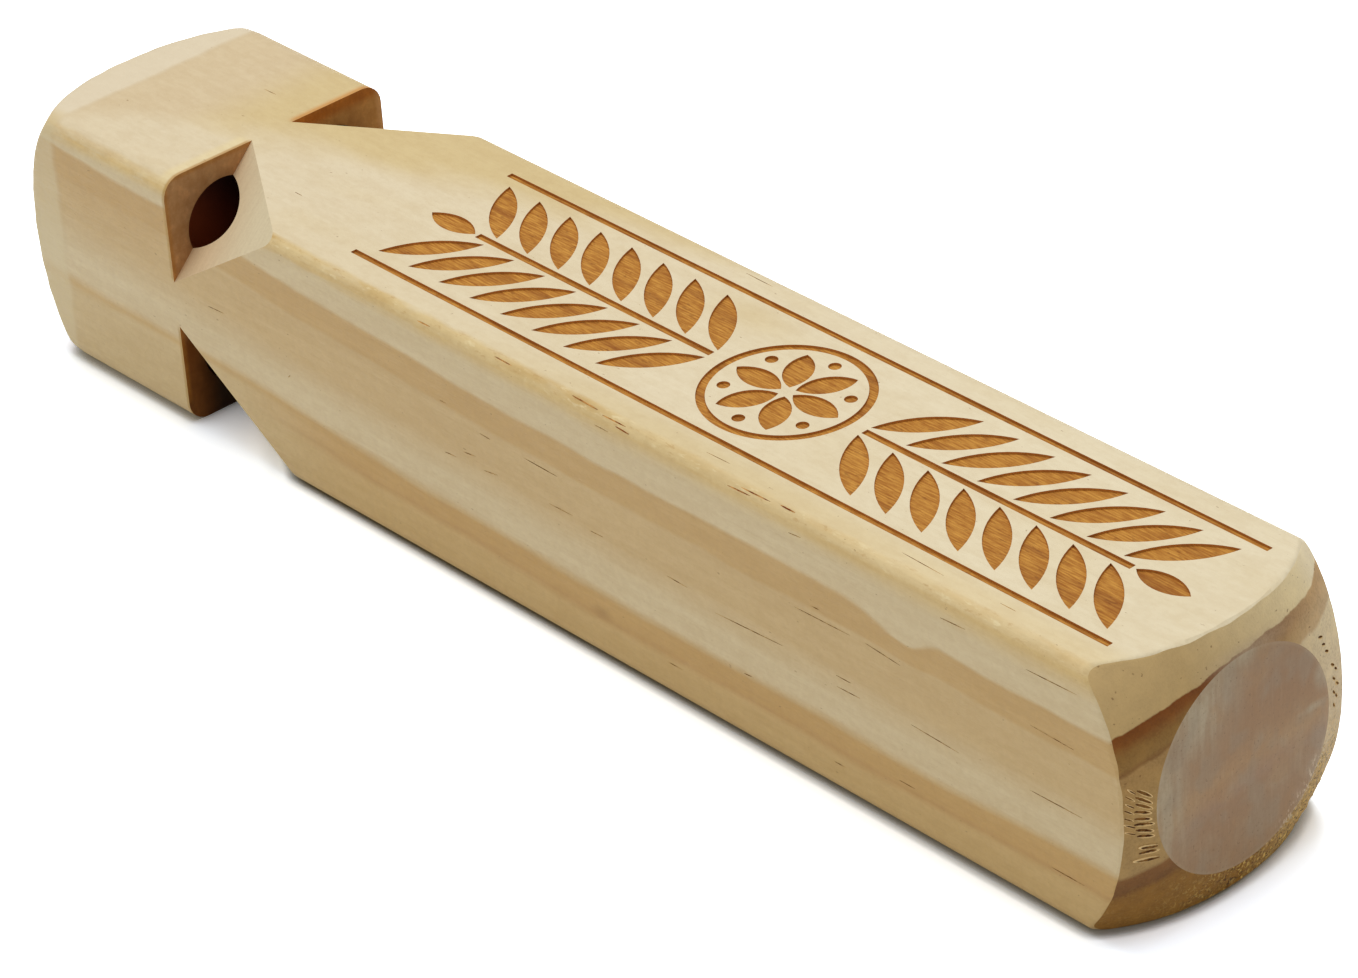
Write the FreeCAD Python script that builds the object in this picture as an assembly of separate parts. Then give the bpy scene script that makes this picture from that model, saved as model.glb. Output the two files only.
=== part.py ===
import FreeCAD, Part
import math
import os

# A four-tone wooden train whistle: a square block with four blind bores, one along
# each long edge, and a flatted dowel glued into the mouth end of each bore.
# Lengths are in millimetres and angles in degrees.
# The block lies along X on its flat underside. The mouth end is at the low X end,
# the engraved face is on top, and the origin is under the middle of the block.

# Bores, each beside one long edge of the block, and the wood round them
bore_radius = 5.75
outer_wall = 3.1  # between a bore and each of its two outer faces
bore_web = 5.8  # between two bores side by side
drill_point_angle = 118.0

# Pipes, each from its notch wall to the floor of its bore, lowest tone first
upper_right_pipe_length = 130.0
lower_left_pipe_length = 108.0
upper_left_pipe_length = 95.0
lower_right_pipe_length = 79.0

# Block
mouth_block_length = 31.3  # from the mouth end to the upright walls of the notches
solid_end_length = 34.1  # solid wood behind the deepest bore
mouth_edge_radius = 2.8  # long edges of the mouth block, sanded rounder
body_edge_radius = 1.8  # long edges of the rest

# Corner notches: an upright wall, and a slope that meets the long edge
notch_web = 6.4  # face left between two notches at their walls
notch_length = 22.4  # from the wall to the slope's tip on the long edge

# Fipple plugs
glue_gap = 0.05  # round the dowel
windway_height = 1.5  # between the dowel's flat and the bore, at the middle
plug_setback = 2.2  # from the notch wall back to the dowel's inner end

# Turned ends: a flat disc, then an arc that falls away to the corners
end_flat_margin = 3.9  # from the flat's edge to the nearest point of each long face
dome_start_angle = 14.0  # slope of the arc where it leaves the flat
dome_depth = 7.7  # fall of the arc at a sharp corner of the block

# Shallow taper sanded on the four faces at the mouth end
taper_length = 8.0
taper_drop = 0.45

# Engraving on the top face: a rosette between two leafy branches, and two lines
engraving_depth = 0.3
engraving_tip_gap = 8.7  # from the notch tips to the start of the engraving
engraving_end_gap = 7.5  # from the closed end to the end of the engraving
engraving_side_gap = 4.6  # from each long side to the outer edge of a line
line_width = 0.9
line_clearance = 1.5  # between a line and the ornament
rosette_ring_width = 1.1
rosette_ring_clearance = 1.0  # between the ring and the petal tips
petal_width = 3.6
petal_hub_radius = 1.0
petal_count = 6
dot_radius = 0.8
branch_gap = 2.2  # between the rosette and each branch
stem_width = 1.0
stem_clearance = 0.5  # between the stem and the foot of a leaf
leaf_angle = 48.0  # between a leaf and its stem
leaf_width = 3.3
leaf_pitch = 5.6  # between leaves along the stem

# Places that follow from the sizes above
pipe_lengths = {
    "upper_left": upper_left_pipe_length,
    "upper_right": upper_right_pipe_length,
    "lower_right": lower_right_pipe_length,
    "lower_left": lower_left_pipe_length,
}
corner_names = list(pipe_lengths)  # in quarter turns about the block's axis from the +Y +Z corner
block_width = 2 * outer_wall + 4 * bore_radius + bore_web
half_width = block_width / 2
body_length = max(pipe_lengths.values()) + solid_end_length
block_length = mouth_block_length + body_length
mouth_x = -block_length / 2
wall_x = mouth_x + mouth_block_length
closed_x = wall_x + body_length
corner_radius = half_width * math.sqrt(2)
bore_offset = bore_web / 2 + bore_radius  # from the block's axis, in Y and in Z
notch_leg = (block_width - notch_web) / 2
end_flat_radius = half_width - end_flat_margin
overrun = outer_wall  # how far a cutter reaches past the wood

axis_direction = FreeCAD.Vector(1, 0, 0)
axis_point = FreeCAD.Vector(0, 0, half_width)


def turned_to_corner(shape, corner):
    """Copy a shape from the +Y +Z corner to another corner of the block."""
    copy = shape.copy()
    copy.rotate(axis_point, axis_direction, 90 * corner_names.index(corner))
    return copy


def prism(start_x, end_x, edge_radius):
    """Square length of the block with its four long edges rounded."""
    corner = FreeCAD.Vector(start_x, -half_width, 0)
    block = Part.makeBox(end_x - start_x, block_width, block_width, corner)
    long_edges = [edge for edge in block.Edges if abs(edge.tangentAt(edge.FirstParameter).x) > 0.5]
    return block.makeFillet(edge_radius, long_edges)


def dome_points():
    """Fall of a turned end at its flat's edge, midway along its arc and at the corner radius."""
    run = corner_radius - end_flat_radius
    chord = math.hypot(run, dome_depth)
    start_angle = math.radians(dome_start_angle)
    chord_angle = math.atan2(dome_depth, run)
    arc_radius = chord / (2 * math.sin(chord_angle - start_angle))
    middle_angle = (start_angle + chord_angle) / 2
    middle_chord = 2 * arc_radius * math.sin((chord_angle - start_angle) / 2)
    middle_radius = end_flat_radius + middle_chord * math.cos(middle_angle)
    middle_fall = middle_chord * math.sin(middle_angle)
    return [(end_flat_radius, 0), (middle_radius, middle_fall), (corner_radius, dome_depth)]


def turned_envelope():
    """Round form, centred on the block's axis, that both ends are turned to."""
    mouth_arc = [FreeCAD.Vector(mouth_x + fall, 0, half_width + radius) for radius, fall in dome_points()]
    closed_arc = [FreeCAD.Vector(closed_x - fall, 0, half_width + radius) for radius, fall in dome_points()]
    mouth_centre = FreeCAD.Vector(mouth_x, 0, half_width)
    closed_centre = FreeCAD.Vector(closed_x, 0, half_width)
    edges = [
        Part.makeLine(mouth_centre, mouth_arc[0]),
        Part.Arc(*mouth_arc).toShape(),
        Part.makeLine(mouth_arc[-1], closed_arc[-1]),
        Part.Arc(*reversed(closed_arc)).toShape(),
        Part.makeLine(closed_arc[0], closed_centre),
        Part.makeLine(closed_centre, mouth_centre),
    ]
    return Part.Face(Part.Wire(edges)).revolve(axis_point, axis_direction, 360)


def taper_cutter():
    """Thin wedge that comes off the top face at the mouth end."""
    slope = taper_drop / taper_length
    profile = Part.makePolygon([
        FreeCAD.Vector(mouth_x + taper_length, -block_width, block_width),
        FreeCAD.Vector(mouth_x - overrun, -block_width, block_width - slope * (taper_length + overrun)),
        FreeCAD.Vector(mouth_x - overrun, -block_width, block_width + overrun),
        FreeCAD.Vector(mouth_x + taper_length, -block_width, block_width + overrun),
        FreeCAD.Vector(mouth_x + taper_length, -block_width, block_width),
    ])
    return Part.Face(profile).extrude(FreeCAD.Vector(0, 2 * block_width, 0))


def notch_cutter():
    """Wedge behind the notch wall at the +Y +Z corner, made at the top and turned 45 degrees."""
    wall_foot = corner_radius - notch_leg / math.sqrt(2)
    slope = (corner_radius - wall_foot) / notch_length
    reach = corner_radius + overrun
    profile = Part.makePolygon([
        FreeCAD.Vector(wall_x, -block_width, half_width + wall_foot),
        FreeCAD.Vector(wall_x + (reach - wall_foot) / slope, -block_width, half_width + reach),
        FreeCAD.Vector(wall_x, -block_width, half_width + reach),
        FreeCAD.Vector(wall_x, -block_width, half_width + wall_foot),
    ])
    wedge = Part.Face(profile).extrude(FreeCAD.Vector(0, 2 * block_width, 0))
    wedge.rotate(axis_point, axis_direction, -45)
    return wedge


def bore_cutter(pipe_length):
    """Drilled hole from the mouth end, with the drill's cone at its floor."""
    start = FreeCAD.Vector(mouth_x - overrun, bore_offset, half_width + bore_offset)
    floor_x = wall_x + pipe_length
    floor = FreeCAD.Vector(floor_x, bore_offset, half_width + bore_offset)
    hole = Part.makeCylinder(bore_radius, floor_x - start.x, start, axis_direction)
    cone_depth = bore_radius / math.tan(math.radians(drill_point_angle / 2))
    return hole.fuse(Part.makeCone(bore_radius, 0, cone_depth, floor, axis_direction))


def fipple_plug():
    """Dowel with a flat that faces the block's corner, for the +Y +Z bore."""
    dowel_radius = bore_radius - glue_gap
    start = FreeCAD.Vector(mouth_x - overrun, bore_offset, half_width + bore_offset)
    length = wall_x - plug_setback - start.x
    dowel = Part.makeCylinder(dowel_radius, length, start, axis_direction)
    flat_corner = start + FreeCAD.Vector(0, -bore_radius, bore_radius - windway_height)
    windway = Part.makeBox(length, 2 * bore_radius, 2 * bore_radius, flat_corner)
    windway.rotate(start, axis_direction, -45)
    return dowel.cut(windway).common(turned_envelope())


def pocket(outline_edges):
    """Engraver's cut into the top face with the given outline, drawn at the face's height."""
    outline = Part.Face(Part.Wire(outline_edges))
    outline.translate(FreeCAD.Vector(0, 0, -engraving_depth))
    return outline.extrude(FreeCAD.Vector(0, 0, engraving_depth + overrun))


def bar(start_x, end_x, centre_y, width):
    """Straight engraved line along X."""
    corner = FreeCAD.Vector(start_x, centre_y - width / 2, block_width - engraving_depth)
    return Part.makeBox(end_x - start_x, width, engraving_depth + overrun, corner)


def leaf(foot_x, foot_y, angle, length, width):
    """Pointed leaf of two arcs, from its foot to its tip."""
    along = FreeCAD.Vector(math.cos(math.radians(angle)), math.sin(math.radians(angle)), 0)
    across = FreeCAD.Vector(-along.y, along.x, 0)
    foot = FreeCAD.Vector(foot_x, foot_y, block_width)
    tip = foot + along * length
    middle = foot + along * (length / 2)
    side = across * (width / 2)
    left_edge = Part.Arc(foot, middle + side, tip).toShape()
    right_edge = Part.Arc(tip, middle - side, foot).toShape()
    return pocket([left_edge, right_edge])


def disc(centre_x, centre_y, radius):
    """Round engraved spot."""
    centre = FreeCAD.Vector(centre_x, centre_y, block_width - engraving_depth)
    return Part.makeCylinder(radius, engraving_depth + overrun, centre)


def rosette(centre_x, radius):
    """Ring round a compass-drawn flower, with a dot between each two petals."""
    ring = disc(centre_x, 0, radius).cut(disc(centre_x, 0, radius - rosette_ring_width))
    petal_tip = radius - rosette_ring_width - rosette_ring_clearance
    cuts = [ring]
    for number in range(petal_count):
        angle = 360 * number / petal_count
        direction = (math.cos(math.radians(angle)), math.sin(math.radians(angle)))
        foot_x = centre_x + petal_hub_radius * direction[0]
        foot_y = petal_hub_radius * direction[1]
        cuts.append(leaf(foot_x, foot_y, angle, petal_tip - petal_hub_radius, petal_width))
        between = math.radians(angle + 180 / petal_count)
        dot_distance = petal_tip - dot_radius
        dot_x = centre_x + dot_distance * math.cos(between)
        cuts.append(disc(dot_x, dot_distance * math.sin(between), dot_radius))
    return cuts


def branch(root_x, end_x, half_height):
    """Stem from the rosette outwards, with a leaf on each side at every step."""
    outward = 1 if end_x > root_x else -1
    foot_y = stem_width / 2 + stem_clearance
    leaf_length = (half_height - foot_y) / math.sin(math.radians(leaf_angle))
    leaf_reach = leaf_length * math.cos(math.radians(leaf_angle))
    stem_length = abs(end_x - root_x) - leaf_reach
    leaf_count = int(stem_length / leaf_pitch) + 1
    stem_end_x = root_x + outward * stem_length
    cuts = [bar(min(root_x, stem_end_x), max(root_x, stem_end_x), 0, stem_width)]
    for number in range(leaf_count):
        foot_x = root_x + outward * number * leaf_pitch
        for side in (1, -1):
            angle = leaf_angle if outward > 0 else 180 - leaf_angle
            cuts.append(leaf(foot_x, side * foot_y, side * angle, leaf_length, leaf_width))
    tip_foot = stem_end_x + outward * stem_clearance
    cuts.append(leaf(tip_foot, 0, 0 if outward > 0 else 180, leaf_reach - stem_clearance, leaf_width))
    return cuts


def engraving():
    """Every cut of the ornament on the top face."""
    start_x = wall_x + notch_length + engraving_tip_gap
    end_x = closed_x - engraving_end_gap
    line_y = half_width - engraving_side_gap - line_width / 2
    half_height = line_y - line_width / 2 - line_clearance
    centre_x = (start_x + end_x) / 2
    cuts = rosette(centre_x, half_height)
    for outward, limit_x in ((-1, start_x), (1, end_x)):
        root_x = centre_x + outward * (half_height + branch_gap)
        cuts += branch(root_x, limit_x, half_height)
    for side in (1, -1):
        cuts.append(bar(start_x, end_x, side * line_y, line_width))
    return cuts


def whistle_body():
    """The one piece of wood: block, turned ends, notches, bores and engraving."""
    mouth_block = prism(mouth_x, wall_x, mouth_edge_radius)
    for corner in corner_names:
        mouth_block = mouth_block.cut(turned_to_corner(taper_cutter(), corner))
    pipe_block = prism(wall_x, closed_x, body_edge_radius)
    pipe_block = pipe_block.cut([turned_to_corner(notch_cutter(), corner) for corner in corner_names])
    body = mouth_block.fuse(pipe_block).removeSplitter()
    body = body.common(turned_envelope())
    bores = [turned_to_corner(bore_cutter(pipe_lengths[corner]), corner) for corner in corner_names]
    return body.cut(bores).cut(engraving())


def save(shape, node):
    """Write one solid as its own file and report on it."""
    solid = shape.Solids[0]
    if len(shape.Solids) != 1 or not solid.isValid():
        raise ValueError(f"{node} has {len(shape.Solids)} solids, valid: {shape.isValid()}")
    solid.exportStep(f"parts/{node}.step")
    box = solid.BoundBox
    print(f"{node}: {solid.Volume:.0f} mm3, {box.XLength:.2f} x {box.YLength:.2f} x {box.ZLength:.2f} mm")


os.makedirs("parts", exist_ok=True)
save(whistle_body(), "whistle_body")
for corner_name in corner_names:
    save(turned_to_corner(fipple_plug(), corner_name), f"fipple_plug_{corner_name}")
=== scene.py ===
import random
from math import asin, atan2, cos, hypot, pi, radians, sin, sqrt, tan

import bpy
import numpy as np
from mathutils import Euler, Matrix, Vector, noise


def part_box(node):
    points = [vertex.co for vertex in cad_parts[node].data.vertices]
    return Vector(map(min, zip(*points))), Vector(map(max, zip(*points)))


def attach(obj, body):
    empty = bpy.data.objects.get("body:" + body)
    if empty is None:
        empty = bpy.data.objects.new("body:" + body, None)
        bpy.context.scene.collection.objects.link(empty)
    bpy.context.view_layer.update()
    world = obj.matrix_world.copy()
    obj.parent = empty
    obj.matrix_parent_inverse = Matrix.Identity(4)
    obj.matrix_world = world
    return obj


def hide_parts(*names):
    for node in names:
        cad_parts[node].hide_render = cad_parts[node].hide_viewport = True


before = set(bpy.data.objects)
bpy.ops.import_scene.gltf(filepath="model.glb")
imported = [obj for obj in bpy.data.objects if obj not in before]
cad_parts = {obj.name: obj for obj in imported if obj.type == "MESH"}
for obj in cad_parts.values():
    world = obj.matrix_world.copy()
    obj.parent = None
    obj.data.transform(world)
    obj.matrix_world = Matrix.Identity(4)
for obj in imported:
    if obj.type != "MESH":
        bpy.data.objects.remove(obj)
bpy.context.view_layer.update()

# A wooden train whistle lying on a pale table. Sizes are in millimetres unless a name
# says otherwise, and MM turns them into the scene's metres.
MM = 0.001
body_low, body_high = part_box("whistle_body")

# The block as model.glb gives it
half_width = (body_high.y - body_low.y) / 2 / MM
block_top = 2 * half_width
mouth_x = body_low.x / MM
closed_x = body_high.x / MM
corner_radius = half_width * sqrt(2)

# The block as its drawing gives it
mouth_block_length = 31.3
wall_x = mouth_x + mouth_block_length
mouth_edge_radius = 2.8
body_edge_radius = 1.8
taper_length = 8.0
taper_drop = 0.45
end_flat_radius = 13.6
dome_start_angle = radians(14)
dome_depth = 7.7
notch_leg = 14.3
notch_length = 22.4
bore_radius = 5.75
bore_offset = 8.65
drill_point_angle = radians(118)

# Length of each pipe, by the signs of its corner in Y and Z
pipe_lengths = {(1, 1): 95, (-1, 1): 130, (-1, -1): 79, (1, -1): 108.0}

# The engraving as the drawing gives it
engraving_depth = 0.3
engraving_tip_gap = 8.7
engraving_end_gap = 7.5
engraving_side_gap = 4.6
line_width = 0.9
line_clearance = 1.5
rosette_ring_width = 1.1
rosette_ring_clearance = 1.0
petal_count = 6
petal_width = 3.6
petal_hub_radius = 1.0
dot_radius = 0.8
branch_gap = 2.2
stem_width = 1.0
stem_clearance = 0.5
leaf_angle = radians(48)
leaf_width = 3.3
leaf_pitch = 5.6

# Wear of the block's edges
edge_change_start = 1.0  # behind the notch walls, where the long edges start to get sharper
edge_change_length = 8.0
edge_softness = 0.22
edge_wander_size = 2.5
torn_below = 9.0  # height under which the rim of a turned end is torn
torn_below_fade = 5.0
torn_beyond = -9.0  # Y past which it is torn
torn_beyond_fade = 8.0
chip_depth = 0.35
chip_size = 0.8
turning_depth = 0.05
tear_depth = 0.3
tear_size = 0.75

# Fineness of the meshes
face_steps = 84
corner_steps = 6
dome_steps = 26
disc_steps = 5
length_step = 1.4
near_end_shares = (0.12, 0.3, 0.5, 0.75)  # rings between a turned end's rim and the evenly spaced rings
settling_passes = 4
notch_half_spread = 12.0
bore_steps = 64
leaf_steps = 12
dot_steps = 24
ring_steps = 96
groove_rings = 7
canal_steps = 8
nick_steps = 16
crease_angle = radians(32)
overrun = 3.0  # how far a cutter reaches past the wood
groove_lift = 0.008  # keeps a groove's points out of the plane of the face that it cuts

# Kinds of surface on the uncut block, in the order of its materials
long_face, turned_face, flat_face = range(3)


def fall(radius):
    """How far a turned end has fallen away from its flat at this distance from the axis."""
    run = corner_radius - end_flat_radius
    chord_angle = atan2(dome_depth, run)
    arc_radius = hypot(run, dome_depth) / (2 * sin(chord_angle - dome_start_angle))
    centre_radius = end_flat_radius - arc_radius * sin(dome_start_angle)
    centre_fall = arc_radius * cos(dome_start_angle)
    beyond = np.maximum(radius, end_flat_radius) - centre_radius
    return centre_fall - np.sqrt(arc_radius ** 2 - beyond ** 2)


def in_scene(name, data):
    """New object that shows this data."""
    thing = bpy.data.objects.new(name, data)
    bpy.context.scene.collection.objects.link(thing)
    return thing


def mesh_object(name, points, faces):
    """Object from points in millimetres."""
    mesh = bpy.data.meshes.new(name)
    mesh.from_pydata((np.asarray(points, float) * MM).tolist(), [], faces)
    mesh.update()
    return in_scene(name, mesh)


def joined(name, parts):
    """One object from several (points, faces) pairs that don't touch."""
    points = []
    faces = []
    for part_points, part_faces in parts:
        first = len(points)
        points += [tuple(p) for p in part_points]
        faces += [[first + i for i in face] for face in part_faces]
    return mesh_object(name, points, faces)


def band(low, high, count):
    """Faces between two closed loops of points, from the number of each loop's first point."""
    return [(low + a, low + b, high + b, high + a) for a, b in zip(range(count), [*range(1, count), 0])]


# Section of the block: one side and one rounded corner, four times over
face_part = np.linspace(-1, 1, face_steps + 1)[:-1]
corner_part = np.linspace(0, pi / 2, corner_steps + 1)[:-1]
quarter_out = np.concatenate([np.ones(face_steps), np.cos(corner_part)])
quarter_along = np.concatenate([face_part, np.ones(corner_steps)])
quarter_rise = np.concatenate([np.zeros(face_steps), np.sin(corner_part)])
section_steps = 4 * (face_steps + corner_steps)


def section(x):
    """Y and Z, from the axis, of each point round the section; x has one value for each."""
    half = half_width - taper_drop / taper_length * np.maximum(0, mouth_x + taper_length - x)
    ease = np.clip((x - wall_x - edge_change_start) / edge_change_length, 0, 1)
    radius = mouth_edge_radius + (body_edge_radius - mouth_edge_radius) * ease
    out = (half - radius) + radius * np.tile(quarter_out, 4)
    along = (half - radius) * np.tile(quarter_along, 4) + radius * np.tile(quarter_rise, 4)
    turn = np.repeat(np.arange(4), face_steps + corner_steps) * pi / 2
    return np.cos(turn) * out - np.sin(turn) * along, np.sin(turn) * out + np.cos(turn) * along


def wander(x, y, z, size, seed):
    """Smooth random value for each point, from 0 to 1."""
    values = [noise.noise(Vector((a / size, b / size, c / size + seed))) for a, b, c in zip(x, y, z)]
    return np.clip(0.5 + 0.7 * np.array(values), 0, 1)


def end_rings(end_x, inward, seed):
    """Rings of one turned end from its middle outwards, then the first ring on the long faces."""
    x = np.full(section_steps, end_x + inward * dome_depth)
    for _ in range(settling_passes):
        y, z = section(x)
        x = end_x + inward * fall(np.hypot(y, z))
    edge = np.hypot(y, z)
    low = np.clip((torn_below - half_width - z) / torn_below_fade, 0, 1)
    ragged = low * np.clip((y - torn_beyond) / torn_beyond_fade, 0, 1)
    soft = edge_softness * (0.5 + wander(x, y, z, edge_wander_size, seed))
    soft = soft + chip_depth * ragged * wander(x, y, z, chip_size, seed + 2)
    rings = []
    for step in range(1, disc_steps + 1):
        share = end_flat_radius * step / disc_steps / edge
        rings.append((np.full(section_steps, end_x), y * share, z * share))
    for step in range(1, dome_steps + 1):
        radius = end_flat_radius + (edge - soft - end_flat_radius) * step / dome_steps
        ring_y = y * radius / edge
        ring_z = z * radius / edge
        torn_wood = wander(x, ring_y, ring_z, tear_size, seed + 5)
        rough = (turning_depth + tear_depth * ragged) * torn_wood * min(1, (dome_steps - step) / 2)
        rings.append((end_x + inward * (fall(radius) + rough), ring_y, ring_z))
    first = x + inward * soft
    rings.append((first, *section(first)))
    return rings


def block_rings():
    """Every ring of the block's surface from the middle of the mouth end to that of the closed end."""
    mouth = end_rings(mouth_x, 1, seed=3)
    closed = end_rings(closed_x, -1, seed=11)
    even_start = mouth_x + taper_length
    even_end = closed_x - taper_length
    places = [mouth[-1][0] + (even_start - mouth[-1][0]) * share for share in near_end_shares]
    for x in np.linspace(even_start, even_end, int((even_end - even_start) / length_step)):
        places.append(np.full(section_steps, x))
    places += [closed[-1][0] + (even_end - closed[-1][0]) * share for share in reversed(near_end_shares)]
    return mouth + [(x, *section(x)) for x in places] + closed[::-1]


def block_mesh():
    """The block before it is drilled and notched, and the kind of surface of each face."""
    rings = block_rings()
    points = [(mouth_x, 0, half_width)]
    for x, y, z in rings:
        points += list(zip(x, y, z + half_width))
    points.append((closed_x, 0, half_width))
    faces = []
    kinds = []
    last = len(rings) - 1
    for step in range(section_steps):
        after = (step + 1) % section_steps
        faces.append((0, 1 + after, 1 + step))
        faces.append((len(points) - 1, 1 + last * section_steps + step, 1 + last * section_steps + after))
        kinds += [flat_face, flat_face]
    for ring in range(last):
        from_end = min(ring, last - 1 - ring)
        kind = long_face
        if from_end < disc_steps - 1:
            kind = flat_face
        elif from_end < disc_steps + dome_steps - 1:
            kind = turned_face
        low = 1 + ring * section_steps
        faces += band(low, low + section_steps, section_steps)
        kinds += [kind] * section_steps
    return mesh_object("pine_block", points, faces), kinds


def corner_turn(y, z, signs):
    """A place drawn for the +Y +Z corner, moved to the corner with these signs."""
    return y * signs[0], half_width + z * signs[1]


def notch_cutter(signs):
    """Wedge that takes one long edge away behind the notch wall."""
    foot = corner_radius - notch_leg / sqrt(2)
    slope = (corner_radius - foot) / notch_length
    reach = corner_radius + overrun
    points = []
    for x, out in ((wall_x, foot), (wall_x + (reach - foot) / slope, reach), (wall_x, reach)):
        for side in (-notch_half_spread, notch_half_spread):
            y = (out - side) / sqrt(2)
            z = (out + side) / sqrt(2)
            points.append((x, *corner_turn(y, z, signs)))
    faces = [(0, 2, 4), (1, 5, 3), (0, 1, 3, 2), (2, 3, 5, 4), (4, 5, 1, 0)]
    if signs[0] * signs[1] > 0:
        faces = [face[::-1] for face in faces]
    return points, faces


def circle_outline(centre, radius, steps):
    """Round outline, anticlockwise."""
    turns = [2 * pi * step / steps for step in range(steps)]
    return [(centre[0] + radius * cos(turn), centre[1] + radius * sin(turn)) for turn in turns]


def bore_cutter(signs):
    """Drilled hole with the drill's cone at its floor."""
    steps = bore_steps
    centre = corner_turn(bore_offset, bore_offset, signs)
    floor_x = wall_x + pipe_lengths[signs]
    tip_x = floor_x + bore_radius / tan(drill_point_angle / 2)
    outline = circle_outline(centre, bore_radius, steps)
    points = [(x, y, z) for x in (mouth_x - overrun, floor_x) for y, z in outline]
    points.append((tip_x, *centre))
    faces = [tuple(range(steps))[::-1]]
    for step in range(steps):
        after = (step + 1) % steps
        faces.append((step, after, steps + after, steps + step))
        faces.append((steps + step, steps + after, 2 * steps))
    return points, faces


def prism(outline, low, high):
    """Upright prism on a closed outline of (x, y) places, drawn anticlockwise."""
    count = len(outline)
    points = [(x, y, low) for x, y in outline] + [(x, y, high) for x, y in outline]
    faces = [tuple(range(count))[::-1], tuple(range(count, 2 * count))]
    return points, faces + band(0, count, count)


def ring_prism(centre_x, radius, width, low, high):
    """Flat ring with square edges."""
    steps = ring_steps
    outer = circle_outline((centre_x, 0), radius, steps)
    inner = circle_outline((centre_x, 0), radius - width, steps)
    points = [(x, y, z) for z in (low, high) for loop in (outer, inner) for x, y in loop]
    low_out, low_in, high_out, high_in = (0, steps, 2 * steps, 3 * steps)
    faces = []
    for step in range(steps):
        after = (step + 1) % steps
        faces.append((low_out + step, low_out + after, high_out + after, high_out + step))
        faces.append((low_in + after, low_in + step, high_in + step, high_in + after))
        faces.append((high_out + step, high_out + after, high_in + after, high_in + step))
        faces.append((low_out + after, low_out + step, low_in + step, low_in + after))
    return points, faces


def carve(block, cutters, material):
    """Takes the cutters off the block; the cut faces get this material."""
    cutters.data.materials.append(material)
    modifier = block.modifiers.new("cut", "BOOLEAN")
    modifier.operation = "DIFFERENCE"
    modifier.solver = "EXACT"
    modifier.material_mode = "TRANSFER"
    modifier.object = cutters
    graph = bpy.context.evaluated_depsgraph_get()
    cut = bpy.data.meshes.new_from_object(block.evaluated_get(graph))
    block.modifiers.clear()
    block.data = cut
    bpy.data.objects.remove(cutters)


def leaf_outline(foot_x, foot_y, angle, length, width):
    """Pointed leaf of two arcs."""
    sag = width / 2
    radius = (length ** 2 / 4 + sag ** 2) / (2 * sag)
    half_angle = asin(length / 2 / radius)
    outline = []
    for side in (-1, 1):
        for step in range(leaf_steps):
            turn = -half_angle + 2 * half_angle * step / leaf_steps
            along = length / 2 + radius * sin(turn)
            across = radius * cos(turn) - (radius - sag)
            outline.append((along, -across) if side < 0 else (length - along, across))
    on_x, on_y = cos(angle), sin(angle)
    return [(foot_x + on_x * a - on_y * b, foot_y + on_y * a + on_x * b) for a, b in outline]


def bar_outline(start_x, end_x, centre_y, width):
    """Straight line along X."""
    low_y = centre_y - width / 2
    high_y = centre_y + width / 2
    return [(start_x, low_y), (end_x, low_y), (end_x, high_y), (start_x, high_y)]


def engraved_outlines(centre_x, half_height, start_x, end_x):
    """Outline of every cut of the ornament but the rosette's ring."""
    outlines = []
    petal_tip = half_height - rosette_ring_width - rosette_ring_clearance
    for number in range(petal_count):
        angle = 2 * pi * number / petal_count
        foot = (centre_x + petal_hub_radius * cos(angle), petal_hub_radius * sin(angle))
        outlines.append(leaf_outline(*foot, angle, petal_tip - petal_hub_radius, petal_width))
        between = angle + pi / petal_count
        reach = petal_tip - dot_radius
        spot = (centre_x + reach * cos(between), reach * sin(between))
        outlines.append(circle_outline(spot, dot_radius, dot_steps))
    foot_y = stem_width / 2 + stem_clearance
    leaf_length = (half_height - foot_y) / sin(leaf_angle)
    leaf_reach = leaf_length * cos(leaf_angle)
    for outward, limit_x in ((-1, start_x), (1, end_x)):
        root_x = centre_x + outward * (half_height + branch_gap)
        stem_length = abs(limit_x - root_x) - leaf_reach
        stem_end = root_x + outward * stem_length
        outlines.append(bar_outline(min(root_x, stem_end), max(root_x, stem_end), 0, stem_width))
        for number in range(int(stem_length / leaf_pitch) + 1):
            foot_x = root_x + outward * number * leaf_pitch
            for side in (1, -1):
                angle = leaf_angle if outward > 0 else pi - leaf_angle
                outlines.append(leaf_outline(foot_x, side * foot_y, side * angle, leaf_length, leaf_width))
        tip_x = stem_end + outward * stem_clearance
        angle = 0 if outward > 0 else pi
        outlines.append(leaf_outline(tip_x, 0, angle, leaf_reach - stem_clearance, leaf_width))
    return outlines


def engraving_cutters():
    """The ornament on the top face, laid out as in the block's drawing."""
    low = block_top - engraving_depth
    high = block_top + overrun
    start_x = wall_x + notch_length + engraving_tip_gap
    end_x = closed_x - engraving_end_gap
    line_y = half_width - engraving_side_gap - line_width / 2
    half_height = line_y - line_width / 2 - line_clearance
    centre_x = (start_x + end_x) / 2
    outlines = engraved_outlines(centre_x, half_height, start_x, end_x)
    for side in (1, -1):
        outlines.append(bar_outline(start_x, end_x, side * line_y, line_width))
    parts = [ring_prism(centre_x, half_height, rosette_ring_width, low, high)]
    parts += [prism(outline, low, high) for outline in outlines]
    return joined("engraving_cutters", parts)


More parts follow.
